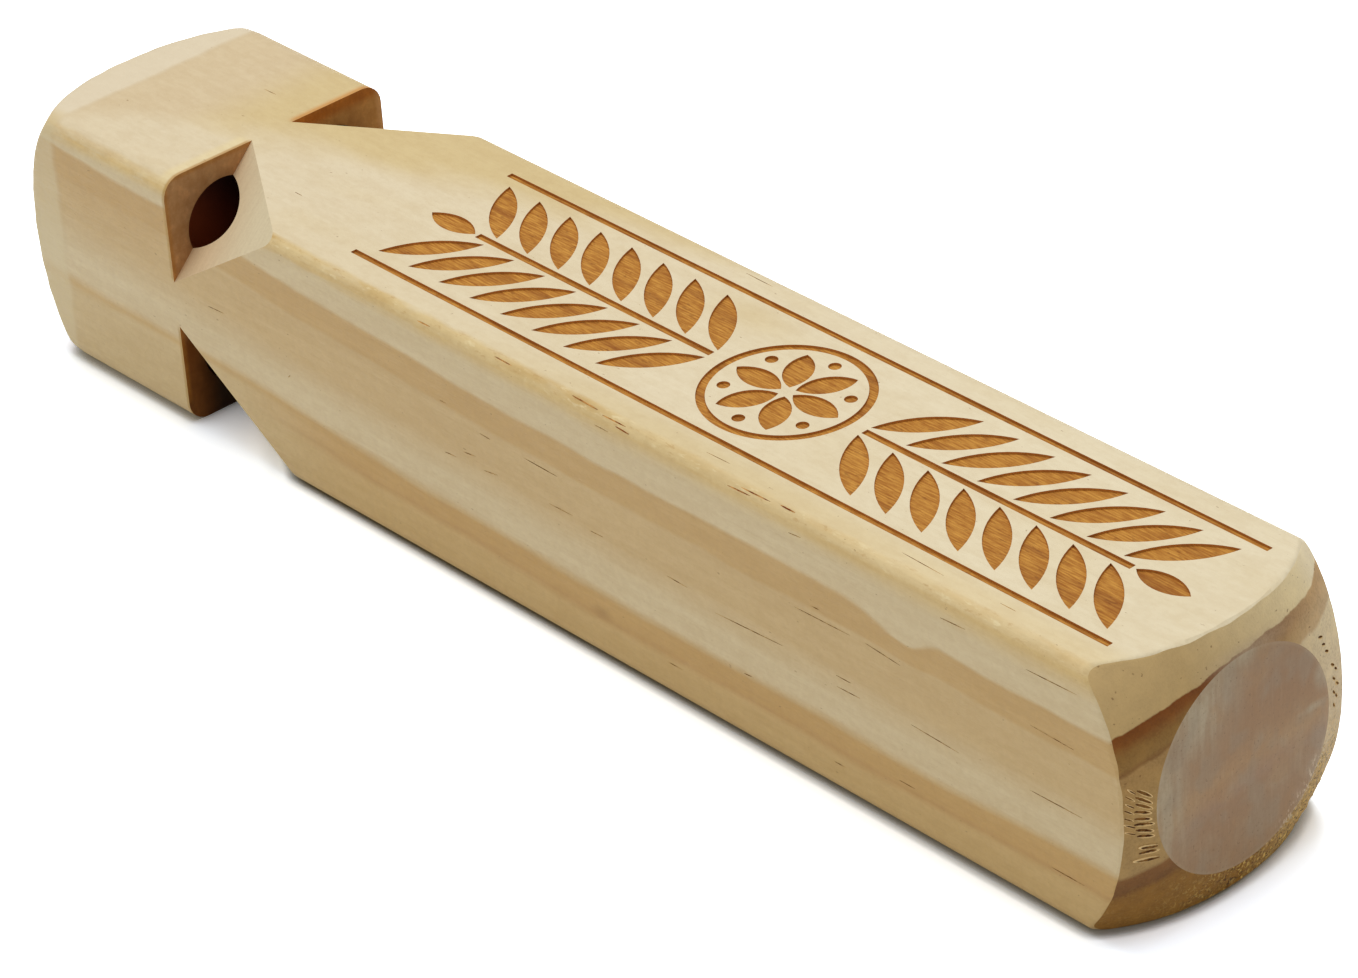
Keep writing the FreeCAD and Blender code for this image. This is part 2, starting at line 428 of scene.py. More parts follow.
class Nodes:
    """Nodes of one tree."""

    def __init__(self, tree):
        self.tree = tree

    def feed(self, socket, value):
        if isinstance(value, bpy.types.NodeSocket):
            self.tree.links.new(value, socket)
        else:
            socket.default_value = value

    def add(self, kind, values, **settings):
        node = self.tree.nodes.new("ShaderNode" + kind)
        for key, value in settings.items():
            setattr(node, key, value)
        for key, value in values.items():
            self.feed(node.inputs[key], value)
        return node

    def math(self, operation, a, b=0, c=0):
        return self.add("Math", {0: a, 1: b, 2: c}, operation=operation).outputs[0]

    def highest(self, value, *others):
        for other in others:
            value = self.math("MAXIMUM", value, other)
        return value


class Shading(Nodes):
    """One material's nodes. Places on the object are in millimetres."""

    def __init__(self, name):
        self.material = bpy.data.materials.new(name)
        self.material.use_nodes = True
        super().__init__(self.material.node_tree)
        self.shader = self.tree.nodes["Principled BSDF"]
        metres = self.add("TexCoord", {}).outputs["Object"]
        self.place = self.add("VectorMath", {0: metres, "Scale": 1 / MM}, operation="SCALE").outputs[0]
        self.x, self.y, self.z = self.parts(self.place)

    def parts(self, vector):
        """X, Y and Z of a vector."""
        outputs = self.add("SeparateXYZ", {0: vector}).outputs
        return outputs[0], outputs[1], outputs[2]

    def facing(self):
        """X, Y and Z of the way that the surface faces."""
        return self.parts(self.add("NewGeometry", {}).outputs["Normal"])

    def plus(self, a, b):
        return self.math("ADD", a, b)

    def minus(self, a, b):
        return self.math("SUBTRACT", a, b)

    def absolute(self, value):
        return self.math("ABSOLUTE", value)

    def times(self, value, *factors):
        for factor in factors:
            value = self.math("MULTIPLY", value, factor)
        return value

    def times_plus(self, value, factor, extra):
        """The value times the factor, plus the extra."""
        return self.math("MULTIPLY_ADD", value, factor, extra)

    def hypot(self, a, b):
        return self.math("SQRT", self.plus(self.times(a, a), self.times(b, b)))

    def above_axis(self):
        return self.minus(self.z, half_width)

    def stretch(self, vector, size):
        """Vector in units of size, which is in millimetres along X, Y and Z."""
        factors = tuple(1 / length for length in size)
        return self.add("VectorMath", {0: vector, 1: factors}, operation="MULTIPLY").outputs[0]

    def noise(self, size, detail=2, roughness=0.5):
        """Cloudy pattern about 0.5 that changes over this size."""
        vector = self.stretch(self.place, size)
        values = {"Vector": vector, "Scale": 1, "Detail": detail, "Roughness": roughness}
        return self.add("TexNoise", values).outputs["Fac"]

    def span(self, value, low, high, to_low=0, to_high=1, smooth=True):
        """Carries low..high over to to_low..to_high, and holds beyond."""
        style = "SMOOTHSTEP" if smooth else "LINEAR"
        values = {0: value, 1: low, 2: high, 3: to_low, 4: to_high}
        return self.add("MapRange", values, interpolation_type=style).outputs[0]

    def soft_spot(self, centre, size):
        """Blob that is 1 at its centre and fades to 0 at its rim."""
        offset = self.add("VectorMath", {0: self.place, 1: centre}, operation="SUBTRACT").outputs[0]
        scaled = self.stretch(offset, size)
        return self.span(self.add("VectorMath", {0: scaled}, operation="LENGTH").outputs["Value"], 0, 1, 1, 0)

    def ramp(self, value, stops):
        node = self.add("ValToRGB", {0: value})
        elements = node.color_ramp.elements
        while len(elements) < len(stops):
            elements.new(0.5)
        for element, (place, colour) in zip(elements, stops):
            element.position = place
            element.color = (*shade(*colour), 1)
        return node.outputs[0]

    def blend(self, share, a, b, kind="MIX"):
        """Blend of two colours, each a socket or amounts of red, green and blue light."""
        node = self.add("Mix", {0: share}, data_type="RGBA", blend_type=kind)
        self.feed(node.inputs[6], a if isinstance(a, bpy.types.NodeSocket) else (*a, 1))
        self.feed(node.inputs[7], b if isinstance(b, bpy.types.NodeSocket) else (*b, 1))
        return node.outputs[2]

    def mix(self, share, a, b):
        """Mix of two colours, each a socket or as a screen shows it."""
        a, b = [c if isinstance(c, bpy.types.NodeSocket) else shade(*c) for c in (a, b)]
        return self.blend(share, a, b)

    def tinted(self, colour, red, green, blue):
        """The colour with its parts multiplied by these."""
        return self.blend(1, colour, (red, green, blue), "MULTIPLY")

    def coats(self, colour, *coats):
        """The colour under coats laid on in turn, each as its share and its own colour."""
        for share, coat in coats:
            colour = self.mix(share, colour, coat)
        return colour

    def bump(self, height, strength, distance):
        values = {"Height": height, "Strength": strength, "Distance": distance * MM}
        return self.add("Bump", values).outputs[0]

    def finish(self, colour, roughness, normal=None, specular=0.35):
        self.feed(self.shader.inputs["Base Color"], colour)
        self.feed(self.shader.inputs["Roughness"], roughness)
        self.shader.inputs["Specular IOR Level"].default_value = specular
        if normal is not None:
            self.feed(self.shader.inputs["Normal"], normal)
        return self.material


def shade(red, green, blue):
    """Amounts of light for the 0 to 255 values that a screen shows."""
    values = (red, green, blue)
    return tuple(((v / 255 + 0.055) / 1.055) ** 2.4 if v > 10 else v / 255 / 12.92 for v in values)


# Growth rings: arcs about a far pith, numbered by their height at the pith's Y
pith_y = 27.0
pith_z = -140.0
ring_top = 45.0
upper_ring = 33.3
lower_ring = 15.8

# How the layers leave the level: a bend along the block, waves, swells and a knot's pull
level_x = 95.0
bend_length = 100.0
bend_fall = 1.35
slow_wave, slow_swing = (48, 24, 24), 2.2
fine_wave, fine_swing = (11, 3, 3), 1.1
middle_swell_x, middle_swell_reach, middle_swell = -12, 62, 0.85
closed_swell, mouth_swell, far_swell = 0.45, 1.7, 0.75
knot_place = (64.3, -17.5, 26.3)
knot_ahead, knot_behind, knot_across, knot_height = 5.2, 10.5, 12, 4.2
knot_pull, knot_sharpness = 2.35, 1.35


def ring_height(s):
    """Growth layer through each point, as its number."""
    across = s.minus(s.y, pith_y)
    up = s.minus(s.z, pith_z)
    height = s.plus(s.hypot(across, up), pith_z)
    back = s.times_plus(s.x, -1 / bend_length, level_x / bend_length)
    height = s.times_plus(s.times(back, back), -bend_fall, height)
    for size, detail, swing in ((slow_wave, 1, slow_swing), (fine_wave, 3, fine_swing)):
        height = s.times_plus(s.minus(s.noise(size, detail), 0.5), swing, height)
    from_swell = s.absolute(s.minus(s.x, middle_swell_x))
    middle = s.span(from_swell, 0, middle_swell_reach, middle_swell, 0)
    lower = s.plus(s.span(s.x, 80, 50, 0, closed_swell), s.span(s.x, -30, -98, 0, mouth_swell))
    height = s.plus(height, s.times_plus(s.span(s.z, 24, 14), lower, middle))
    height = s.times_plus(s.span(s.y, 0, 13), far_swell, height)
    offset = s.add("VectorMath", {0: s.place, 1: knot_place}, operation="SUBTRACT").outputs[0]
    along, across, up = s.parts(offset)
    along = s.highest(s.math("DIVIDE", along, knot_ahead), s.math("DIVIDE", along, -knot_behind))
    across = s.math("DIVIDE", across, knot_across)
    up = s.math("DIVIDE", up, knot_height)
    offset = s.add("CombineXYZ", {0: along, 1: across, 2: up}).outputs[0]
    reach = s.add("VectorMath", {0: offset}, operation="LENGTH").outputs["Value"]
    pull = s.math("POWER", s.span(reach, 0, 1, 1, 0, smooth=False), knot_sharpness)
    return s.times_plus(pull, knot_pull, height)


def along_ring(s, height, stops):
    """Colour for each growth layer, with stops as (height, colour)."""
    share = s.math("DIVIDE", height, ring_top)
    return s.ramp(share, [(place / ring_top, colour) for place, colour in stops])


# Colours of the wood, as a screen shows them
cream = (236, 219, 184)
ivory = (244, 229, 194)
golden = (226, 202, 148)
block_tan = (227, 205, 165)
pale = (228, 208, 166)
straw = (230, 199, 136)
mid_tan = (216, 187, 135)
deep_tan = (209, 174, 116)
warm_tan = (208, 170, 108)
low_tan = (214, 182, 123)
low_mouth_tan = (219, 194, 144)
late_wood = (203, 163, 104)

side_layers = [
    (0, low_tan), (12.2, low_tan), (13.2, late_wood), (13.8, warm_tan), (lower_ring, warm_tan),
    (lower_ring + 0.5, mid_tan), (lower_ring + 1.4, pale), (20, pale), (24, mid_tan), (29, mid_tan),
    (29.5, deep_tan), (upper_ring - 0.5, deep_tan), (upper_ring + 0.1, pale), (36.5, pale),
    (39.6, straw), (43, straw)]
end_layers = [
    (0, (162, 116, 44)), (12.4, (150, 106, 46)), (13.4, (124, 84, 42)),
    (lower_ring - 0.3, (140, 96, 52)), (lower_ring + 0.3, (184, 150, 98)),
    (24, (184, 148, 92)), (29, (176, 138, 84)), (29.3, (140, 100, 54)),
    (29.9, (156, 118, 62)), (upper_ring - 2.2, (150, 110, 54)),
    (upper_ring - 1, (134, 80, 26)), (upper_ring - 0.06, (124, 67, 12)),
    (upper_ring + 0.06, (206, 174, 118)), (40, (214, 182, 126))]
# Growth layers of the far side of the closed end, painted lighter, partly as light falling there
far_lit_layers = [
    (0, (204, 168, 108)), (7, (208, 174, 116)), (13, (228, 204, 164)),
    (20, (236, 212, 172)), (26.5, (242, 220, 178)), (29.4, (244, 223, 180)),
    (29.8, (214, 183, 138)), (upper_ring - 0.1, (204, 166, 116)),
    (upper_ring + 0.06, (248, 226, 176)), (40, (248, 228, 180))]
disc_layers = [
    (0, (170, 136, 98)), (lower_ring, (168, 132, 96)), (lower_ring + 1, (170, 136, 104)),
    (19.5, (181, 142, 98)), (22, (168, 130, 90)), (27, (160, 122, 84)),
    (29.5, (163, 127, 90)), (upper_ring, (172, 142, 108)), (40, (180, 160, 132))]
slope_layers = [
    (0, (200, 166, 116)), (lower_ring, (212, 180, 132)), (28, (224, 196, 156)),
    (36, (226, 206, 168)), (ring_top, (228, 214, 174))]


def side_colour(s, along_edge):
    """Growth layers on the upright faces and the underside."""
    height = ring_height(s)
    low_mouth = s.times(s.span(s.x, -30, -62), s.span(height, lower_ring + 0.8, lower_ring - 1.2))
    high_layers = s.times(s.span(height, 24, 28.5, 0, 0.55), s.span(height, 33.5, 32.5))
    high_mouth = s.times(s.span(s.x, -62, -72), high_layers)
    upper_edge = s.times(s.span(s.z, 32.2, 34), s.span(along_edge, 0.32, 0.6, 0.15, 0.95))
    return s.coats(
        along_ring(s, height, side_layers),
        (low_mouth, low_mouth_tan), (high_mouth, deep_tan), (upper_edge, straw))


def top_colour(s):
    """Cream top face, golden behind a slanting line, in a patch and along the front."""
    clouds = s.noise((22, 7, 20))
    from_corner = s.plus(s.x, 74)
    line_y = s.times_plus(from_corner, 0.28, -4)
    line_y = s.times_plus(s.math("MINIMUM", from_corner, 0), 0.4, line_y)
    behind_line = s.span(s.times_plus(clouds, 9, s.minus(s.y, line_y)), 0.5, 9)
    patch = s.times(s.soft_spot((12, 9, 35), (12, 5, 40)), 0.55)
    front = s.times(s.span(s.y, -10.5, -15.5, 0, 0.75), s.span(s.x, -20, 30, 0.2, 1))
    gold = s.highest(behind_line, patch, front, s.span(clouds, 0.4, 0.7, 0, 0.2))
    pale_front = s.times(s.span(s.y, -11, -15), s.span(s.x, 20, 80, 0, 0.8))
    gold_colour = s.coats(golden, (s.span(s.x, -70, -80), block_tan), (pale_front, (242, 220, 170)))
    return s.mix(gold, s.mix(s.span(s.x, -60, 60, smooth=False), cream, ivory), gold_colour)


def front_edge(s, colour, along_edge):
    """Golden strip with torn tufts along the rounded edge between the top and the front."""
    feather = s.times_plus(s.noise((5, 0.9, 0.9), 3, 0.6), 0.9, s.plus(s.y, -0.45))
    strip = s.times(s.span(feather, -15.8, -16.6), s.span(s.z, 33.5, 34.3), s.span(s.x, -72, -60, 0.4, 1))
    golden_strip = s.mix(s.span(s.noise((14, 4, 4), 3), 0.35, 0.62), (222, 190, 128), (234, 208, 152))
    golden_strip = s.mix(s.span(s.x, 10, 70, 0, 0.35), golden_strip, (250, 226, 176))
    tufts = s.noise((2.4, 0.8, 0.8), 3, 0.65)
    return s.coats(
        colour,
        (s.times(strip, s.span(along_edge, 0.3, 0.55, 0.55, 1)), golden_strip),
        (s.times(strip, s.span(tufts, 0.56, 0.72, 0, 0.6)), (254, 236, 188)),
        (s.times(strip, s.span(tufts, 0.42, 0.3, 0, 0.4)), (196, 150, 84)))


def notch_lips(s, colour, on_top):
    """Fibres of the mouth block just before the notch walls: a painted highlight on the near top rim, browner
    at the walls.
    """
    from_middle = s.math("MINIMUM", s.absolute(s.y), s.absolute(s.above_axis()))
    before_wall = s.times(s.span(from_middle, 2.8, 4.2), s.span(s.x, wall_x + 0.3, wall_x + 0.1))
    # Painted highlight: a pale band on top just before the near notch walls, where the rim catches the light.
    painted_rim_highlight = s.times(s.span(s.x, wall_x - 2.6, wall_x - 1.2, 0, 0.4), before_wall, on_top, s.span(s.y, 1, -1))
    near_lip = s.times(s.span(s.x, wall_x - 0.7, wall_x - 0.2), before_wall, 0.7)
    far_top = s.times(on_top, s.span(s.y, -1, 1))
    far_lip = s.times(s.span(s.x, wall_x - 1.3, wall_x - 0.2), before_wall, far_top, 0.75)
    lip_colour = s.mix(on_top, (184, 142, 66), (188, 134, 54))
    return s.coats(colour, (painted_rim_highlight, (250, 228, 164)), (near_lip, lip_colour), (far_lip, (222, 160, 84)))


def long_grain():
    """Sanded faces along the grain."""
    s = Shading("pine_long_grain")
    on_top = s.span(s.z, block_top - 1.3, block_top - 0.2)
    along_edge = s.noise((7, 3, 1.2), 3, 0.6)
    colour = s.mix(on_top, side_colour(s, along_edge), top_colour(s))
    colour = notch_lips(s, front_edge(s, colour, along_edge), on_top)
    fibres = s.noise((12, 0.35, 0.35), 3, 0.6)
    streak = s.noise((30, 1.6, 1.6))
    mottle = s.noise((3.2, 1.5, 1.5), 4, 0.6)
    nap = s.noise((1.1, 0.7, 0.7), 3, 0.65)
    calm = s.span(on_top, 0, 1, 1, 0.45)
    darker = s.tinted(colour, 0.80, 0.72, 0.60)
    lighter = s.tinted(colour, 1.07, 1.09, 1.12)
    smear = s.times(s.soft_spot((12.4, -17.5, 6.6), (2.6, 3, 1.5)), 0.45)
    sanding_end = mouth_x + taper_length
    seam_x = s.times_plus(s.noise((9, 6, 6), 1), 1.6, s.x)
    sanded = s.times(s.span(seam_x, sanding_end + 1.6, sanding_end), 0.58)
    sanded_top = s.mix(s.span(s.y, -13.5, -16), (240, 227, 200), (222, 198, 146))
    from_seam = s.absolute(s.minus(seam_x, sanding_end + 1))
    specks = s.span(s.noise((0.9, 0.42, 0.42), 1), 0.77, 0.82, 0, 0.5)
    colour = s.coats(
        colour,
        (s.times(s.span(fibres, 0.32, 0.60, 0.17, 0), calm), darker),
        (s.times(s.span(streak, 0.38, 0.62, 0.16, 0), calm), darker),
        (s.times(s.span(streak, 0.52, 0.75, 0, 0.22), calm), lighter),
        (s.span(mottle, 0.36, 0.62, 0.20, 0), darker),
        (s.times(s.span(nap, 0.34, 0.55, 0.24, 0), calm), darker),
        (s.times(s.span(nap, 0.52, 0.7, 0, 0.3), calm), lighter),
        (smear, (160, 122, 70)),
        (sanded, s.mix(on_top, (222, 204, 160), sanded_top)),
        (s.span(from_seam, 0.1, 0.8, 0.12, 0), darker),
        (specks, (146, 106, 58)))
    relief = s.times_plus(nap, 1.3, s.times_plus(mottle, 0.8, fibres))
    return s.finish(colour, s.span(nap, 0.3, 0.7, 0.5, 0.62), s.bump(relief, 0.5, 0.12))


def end_grain():
    """Turned end grain round the flat disc, torn along its lower rim, with painted light on its far side,
    painted sheen by the disc, and partly painted glints and shade where torn.
    """
    s = Shading("pine_end_grain")
    height = ring_height(s)
    # Painted light: the far side is mixed towards its lighter layers and its far rim made paler, partly as
    # light falling there
    above_ring = s.span(height, upper_ring - 0.05, upper_ring + 0.05)
    far_light_under = s.span(s.y, -1, 15, 0, 0.95)
    far_light_over = s.span(s.y, -8, 12, smooth=False)
    far_light_share = s.times_plus(s.minus(far_light_over, far_light_under), above_ring, far_light_under)
    far_rim_light = s.times(s.span(s.y, 11, 16, 0, 0.5), s.highest(above_ring, s.span(s.z, 15, 12)))
    # Painted sheen: a grey sheen carried from the disc onto the dome above it.
    painted_sheen = s.times(s.soft_spot((closed_x - 3, 1, 31), (30, 9.5, 2)), 0.7)
    colour = s.coats(
        along_ring(s, height, end_layers),
        (far_light_share, along_ring(s, height, far_lit_layers)),
        (far_rim_light, (252, 238, 208)), (painted_sheen, (198, 174, 142)))

    pores = s.noise((0.7, 0.3, 0.3), 3, 0.6)
    blotch = s.noise((3, 2, 2))
    top_layer = s.span(height, upper_ring - 0.3, upper_ring + 0.6)
    pitted = s.times(s.span(pores, 0.36, 0.58, 0.35, 0), s.span(top_layer, 0, 1, 1, 0.3))
    cloudy = s.times(s.span(blotch, 0.4, 0.7, 0, 0.5), s.span(top_layer, 0, 1, 1, 0.5))
    specks = s.span(s.noise((0.8, 0.6, 0.45), 1), 0.72, 0.78, 0, 0.55)
    uneven = s.times_plus(s.noise((9, 3.5, 3.5)), 12, s.z)
    far_corner = s.times(s.span(uneven, 22.5, 16), s.span(s.y, 8, 12))
    colour = s.coats(
        colour,
        (pitted, s.tinted(colour, 0.62, 0.55, 0.45)), (cloudy, s.tinted(colour, 1.25, 1.25, 1.2)),
        (specks, (120, 78, 40)), (s.times(far_corner, 0.5), (188, 142, 66)))

    clusters = s.span(s.noise((3, 1.8, 1.2)), 0.36, 0.58, 0.3, 1)
    lower_rim = s.times(s.span(s.z, 11, 3), s.span(s.y, -14, 2, 0.1, 1), clusters)
    ragged = s.times(s.highest(lower_rim, s.times(far_corner, 0.7)), s.span(s.x, -10, 10, 0.35, 1))
    # Torn fibres painted pale gold, partly as glints where they catch the light, and pits painted dark,
    # partly as shade in them.
    flecks = s.times(s.span(s.noise((0.4, 0.36, 0.5), 2, 0.6), 0.54, 0.6), ragged)
    pits = s.times(s.span(s.noise((0.5, 0.55, 0.4), 2, 0.6), 0.45, 0.39), ragged)
    radius = s.hypot(s.y, s.above_axis())
    by_disc = s.times(s.span(radius, 15.2, 13.9), s.span(s.y, 1, 8), s.span(s.z, 20, 14))
    crumbs = s.times(s.span(s.noise((0.6, 0.45, 0.45), 2, 0.6), 0.54, 0.60), by_disc)
    colour = s.coats(
        colour,
        (s.times(flecks, 0.9), (250, 212, 124)), (s.times(pits, 0.9), (60, 34, 12)),
        (s.times(crumbs, 0.8), (244, 226, 188)))
    relief = s.plus(pores, s.times_plus(flecks, 1.5, s.times(blotch, 0.7)))
    return s.finish(colour, 0.72, s.bump(relief, 0.55, 0.12), 0.25)


# Places of painted sheen on the closed end's disc: Y, Z, reach in Y and in Z, and strength of each
sheen_spots = (
    (-14, 18, 9.5, 16, 1), (-7, 27, 10, 10, 1), (-1, 32, 8, 4, 1),
    (12.8, 22.4, 2.2, 3, 1), (10.8, 18.6, 3.6, 0.9, 0.8))


def sanded_disc():
    """Smooth flat disc on a turned end, closed by sanding, with a grey sheen painted on in patches."""
    s = Shading("pine_sanded_disc")
    radius = s.hypot(s.y, s.above_axis())
    broad = s.noise((20, 4.5, 5.5))
    scratches = s.noise((3, 0.3, 3.5), 3, 0.65)
    fuzz = s.noise((1, 0.5, 0.5), 3, 0.65)
    specks = s.noise((1, 0.3, 0.3))
    spots = []
    for y, z, reach_y, reach_z, strength in sheen_spots:
        spots.append(s.times(s.soft_spot((closed_x, y, z), (30, reach_y, reach_z)), strength))
    # Painted sheen: grey where the smooth disc reflects the light
    painted_sheen = s.highest(s.span(s.noise((9, 5, 5), 3), 0.45, 0.7, 0, 0.3), *spots)
    painted_sheen = s.times(painted_sheen, s.span(s.noise((3, 1.5, 8), 3), 0.38, 0.6, 0.5, 1))
    rim = s.span(radius, end_flat_radius - 0.5, end_flat_radius - 0.1, 0, 0.14)
    low_far_rim = s.times(s.span(s.y, 4, 7), s.span(s.z, 14, 11), s.span(radius, 12, 13.2))
    strands = s.times(s.span(s.noise((0.6, 0.35, 0.9), 2, 0.6), 0.52, 0.62), low_far_rim, 0.75)
    colour = s.coats(
        along_ring(s, ring_height(s), disc_layers),
        (s.span(painted_sheen, 0, 1, smooth=False), (192, 174, 142)),
        (s.span(broad, 0.5, 0.66, 0, 0.4), (164, 146, 120)),
        (s.span(broad, 0.46, 0.34, 0, 0.35), (178, 136, 88)),
        (s.span(scratches, 0.35, 0.6, 0.12, 0), (138, 106, 76)),
        (s.span(scratches, 0.58, 0.75, 0, 0.12), (204, 184, 154)),
        (s.span(fuzz, 0.35, 0.6, 0.14, 0), (134, 102, 72)),
        (s.span(specks, 0.26, 0.36, 0.45, 0), (104, 72, 44)),
        (rim, (206, 184, 150)),
        (strands, (226, 204, 170)))
    return s.finish(colour, 0.6, s.bump(scratches, 0.2, 0.05))


def notch_wall(s):
    """Colour of the sawn walls: painted darker inwards as shade, painted warm at the near rims as lit edges,
    dark where light hardly comes.
    """
    up = s.absolute(s.above_axis())
    sideways = s.absolute(s.y)
    outward = s.highest(sideways, up)
    on_far = s.span(s.y, -2, 2)
    # Painted shade: the walls darken inwards, towards the deep of the notch.
    near = s.mix(s.span(outward, 9, 16.8), (150, 100, 60), (192, 146, 98))
    far = s.coats(
        s.tinted(near, 0.98, 0.88, 0.54),
        (s.span(up, 15, 16.6, 0, 0.85), (170, 98, 22)),
        (s.span(s.y, 16.2, 17.1, 0, 0.5), (206, 156, 104)))
    shaded = s.mix(s.span(sideways, 12, 16.6), (20, 3, 0), (122, 72, 24))
    # Painted light: a warm band at the rim of the near walls, where the edge is lit.
    rim = s.times(s.span(outward, 16.6, 17.3, 0, 0.6), s.span(s.z, 2, 5), s.minus(1, on_far))
    colour = s.coats(near, (on_far, far), (s.span(s.z, 15, 11, 0, 0.95), shaded), (rim, (186, 126, 54)))
    streaks = s.noise((2, 1.8, 7), 3, 0.6)
    patches = s.noise((3, 1.7, 1.7), 3, 0.6)
    dark = s.tinted(colour, 0.72, 0.6, 0.45)
    colour = s.mix(s.span(streaks, 0.38, 0.66, 0.3, 0), colour, dark)
    bright = s.tinted(colour, 1.3, 1.28, 1.3)
    colour = s.mix(s.span(patches, 0.34, 0.54, 0.4, 0), colour, dark)
    return s.mix(s.span(patches, 0.52, 0.7, 0, 0.6), colour, bright)


def notch_cut():
    """Sawn wall and slope of a notch."""
    s = Shading("pine_notch")
    slope = s.mix(s.span(s.x, -62, -50, 0, 0.6), along_ring(s, ring_height(s), slope_layers), (232, 218, 182))
    colour = s.mix(s.span(s.facing()[0], 0.7, 0.95), slope, notch_wall(s))
    fuzz = s.noise((1.2, 0.35, 0.35), 3, 0.6)
    saw_marks = s.noise((0.6, 5, 5))
    deep = s.tinted(colour, 0.72, 0.64, 0.55)
    colour = s.mix(s.span(fuzz, 0.35, 0.6, 0.14, 0), colour, deep)
    colour = s.mix(s.span(saw_marks, 0.4, 0.6, 0.12, 0), colour, deep)
    return s.finish(colour, 0.7, s.bump(fuzz, 0.16, 0.1), 0.12)


def bored():
    """Drilled wall of a pipe, smooth and dark red-brown, darkened partly as painted shade inside the hole."""
    s = Shading("pine_bore")
    ridges = s.noise((0.5, 4, 4))
    stain = s.noise((9, 2, 2))
    # Painted shade: the wall's dark red-brown stands partly for the shade inside the hole.
    colour = s.mix(s.span(stain, 0.35, 0.65), (116, 58, 26), (138, 76, 36))
    colour = s.mix(s.span(ridges, 0.35, 0.65, 0.25, 0), colour, (84, 40, 18))
    return s.finish(colour, 0.75, s.bump(ridges, 0.3, 0.1), 0.2)


def torn(name, dark, light):
    """Torn or resin-filled hollow that runs between two colours."""
    s = Shading(name)
    broken = s.noise((1.5, 0.5, 0.5), 3, 0.6)
    return s.finish(s.mix(s.span(broken, 0.40, 0.62), dark, light), 0.8, None, 0.1)


def nicked():
    """Nick whose floor is painted dark as shade and whose walls are painted pale as lit, by the way each part
    faces.
    """
    s = Shading("pine_nick")
    fuzz = s.noise((0.8, 0.4, 0.4))
    flatness = s.times_plus(fuzz, 0.3, s.minus(s.facing()[0], 0.15))
    painted_floor_shade = s.mix(s.span(s.noise((2, 0.8, 0.6)), 0.4, 0.62), (84, 50, 20), (142, 102, 54))
    # Painted light and shade: parts facing along X, the floor, are dark; tilted walls are pale.
    return s.finish(s.mix(s.span(flatness, 0.88, 0.7), painted_floor_shade, (250, 218, 158)), 0.8, None, 0.1)


def burnt():
    """Engraved floor and walls, scorched in fine lines along the block."""
    s = Shading("pine_burnt")
    line_pitch = 0.38
    wobble = s.times_plus(s.noise((9, 3, 3), 1), 0.25, s.y)
    lines = s.math("SINE", s.times(wobble, 2 * pi / line_pitch))
    waver = s.noise((2.2, 0.3, 0.4), 3, 0.65)
    patches = s.noise((16, 2, 2), 3)
    char = s.noise((1.2, 0.5, 2))
    wall = s.span(s.absolute(s.facing()[2]), 0.7, 0.4, 0, 0.75)
    colour = s.coats(
        s.mix(s.span(waver, 0.3, 0.7), (178, 112, 36), (220, 158, 68)),
        (s.span(lines, 0, 1, 0, 0.3), (140, 78, 22)),
        (s.span(patches, 0.5, 0.68, 0, 0.5), (140, 74, 20)),
        (s.span(char, 0.6, 0.72, 0, 0.35), (112, 56, 14)),
        (wall, (186, 118, 50)))
    return s.finish(colour, 0.7, s.bump(lines, 0.25, 0.04), 0.2)


def dowel():
    """Bare dowel, with end grain at the mouth, and its ends inside the notches painted dark as shade."""
    s = Shading("dowel_wood")
    fibres = s.noise((14, 0.3, 0.3), 3)
    pores = s.noise((1, 0.3, 0.3), 3, 0.65)
    bands = s.noise((20, 5, 1.1))
    long_colour = s.mix(s.span(fibres, 0.3, 0.7), (196, 160, 108), (220, 190, 140))
    sideways = s.minus(s.absolute(s.y), s.absolute(s.above_axis()))
    # Painted shade: the plugs' ends inside the notches, darker towards one side as in shadow.
    plug_end_shade = s.mix(s.span(sideways, -7, 8), (44, 14, 6), (156, 70, 28))
    end_colour = s.coats(
        s.mix(s.span(pores, 0.3, 0.65), (178, 136, 86), (206, 170, 118)),
        (s.span(bands, 0.4, 0.62, 0.35, 0), (168, 122, 72)),
        (s.span(s.x, wall_x - 6, wall_x - 4), plug_end_shade))
    on_end = s.span(s.absolute(s.facing()[0]), 0.4, 0.8)
    return s.finish(s.mix(on_end, long_colour, end_colour), 0.65, s.bump(pores, 0.3, 0.08), 0.3)


def groove(centre, along, up, length, width, depth, steps):
    """Ellipsoid that tears a short groove out of the surface at its centre."""
    across = up.cross(along).normalized()
    centre = centre + up * groove_lift
    points = [centre - along * length / 2]
    for ring in range(1, groove_rings):
        turn = pi * ring / groove_rings
        for step in range(steps):
            roll = 2 * pi * (step + 0.5) / steps
            side = across * cos(roll) * width / 2 + up * sin(roll) * depth
            points.append(centre - along * cos(turn) * length / 2 + side * sin(turn))
    points.append(centre + along * length / 2)
    last = len(points) - 1
    faces = []
    for step in range(steps):
        after = (step + 1) % steps
        faces.append((0, 1 + after, 1 + step))
        faces.append((last, last - steps + step, last - steps + after))
        for ring in range(groove_rings - 2):
            low = 1 + ring * steps
            faces.append((low + step, low + after, low + steps + after, low + steps + step))
    return points, faces


# Nicks that the turning tool tore beside the closed end's disc: a row on the front side,
# numbered from its top, and single ones on the far side, by their Y and Z
nick_width = 0.56
nick_depth = 0.24
front_nicks = 12
front_first_degrees = 11.0
front_pitch_degrees = 3.0
long_nicks = (8, 11)
steep_nicks = (3, 4, 5)
last_doubled = 6
far_nicks = ((13, 26.4), (13.4, 25.3), (13.9, 24.2), (14.9, 21.9), (15.6, 21), (15, 20.1), (15.6, 19.2),
             (14.9, 18.4), (15.5, 17.6), (14.9, 16.7))


